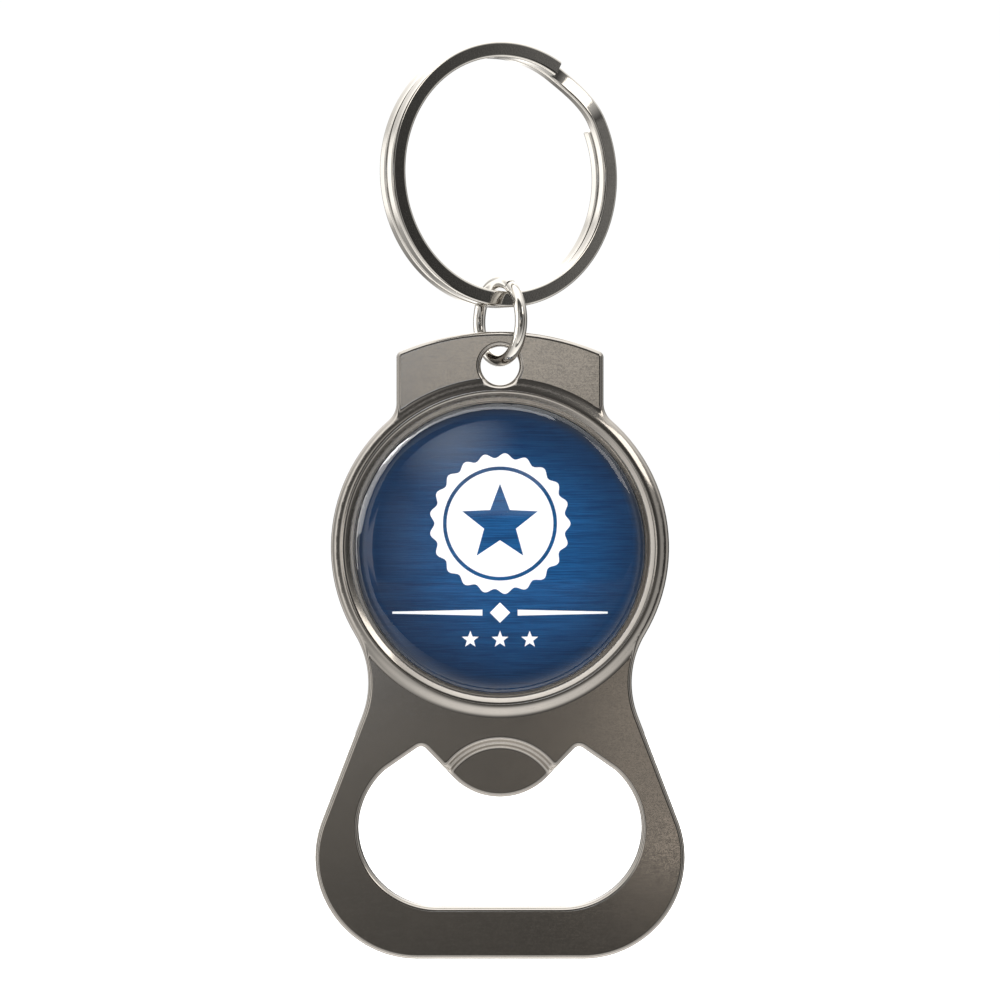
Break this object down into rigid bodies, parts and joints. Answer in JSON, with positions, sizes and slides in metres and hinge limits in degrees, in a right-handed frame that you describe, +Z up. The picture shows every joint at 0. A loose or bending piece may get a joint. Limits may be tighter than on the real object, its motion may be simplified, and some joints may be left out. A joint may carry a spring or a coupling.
{
  "type": "keychain bottle opener",
  "caption": "Cast metal bottle opener with a domed round emblem, hung from a split key ring by a small jump ring; a stepped tongue in its mouth lifts crown caps.",
  "frame": {"origin": "the point that the opener hangs from: the middle of the split ring's inner surface, at its top", "axes": "+Z up, towards the hook; -Y the way the emblem faces; +X to the right of someone looking at the emblem"},
  "size_m": [0.04, 0.0176, 0.0993],
  "materials": {
    "gunmetal": "polished black-nickel plating on zinc alloy",
    "bright_nickel": "polished nickel plating on steel",
    "blue_aluminium": "brushed and printed, with white print",
    "clear_resin": "clear polyurethane, glossy",
    "adhesive": "double-sided film"
  },
  "bodies": {
    "key_ring": {"split_ring": "bright_nickel"},
    "link": {"jump_ring": "bright_nickel"},
    "opener": {"opener_body": "gunmetal", "adhesive_film": "adhesive", "emblem_disc": "blue_aluminium", "resin_dome": "clear_resin"}
  },
  "joints": [
    {"name": "link_travel", "type": "hinge", "parent": "key_ring", "child": "link", "pos_m": [0, 0, -0.01265], "axis": [0.5299, -0.848, 0], "continuous": true},
    {"name": "opener_swing", "type": "hinge", "parent": "link", "child": "opener", "pos_m": [0, 0, -0.02851], "axis": [0.848, 0.5299, 0], "range_deg": [-75, 75]}
  ]
}
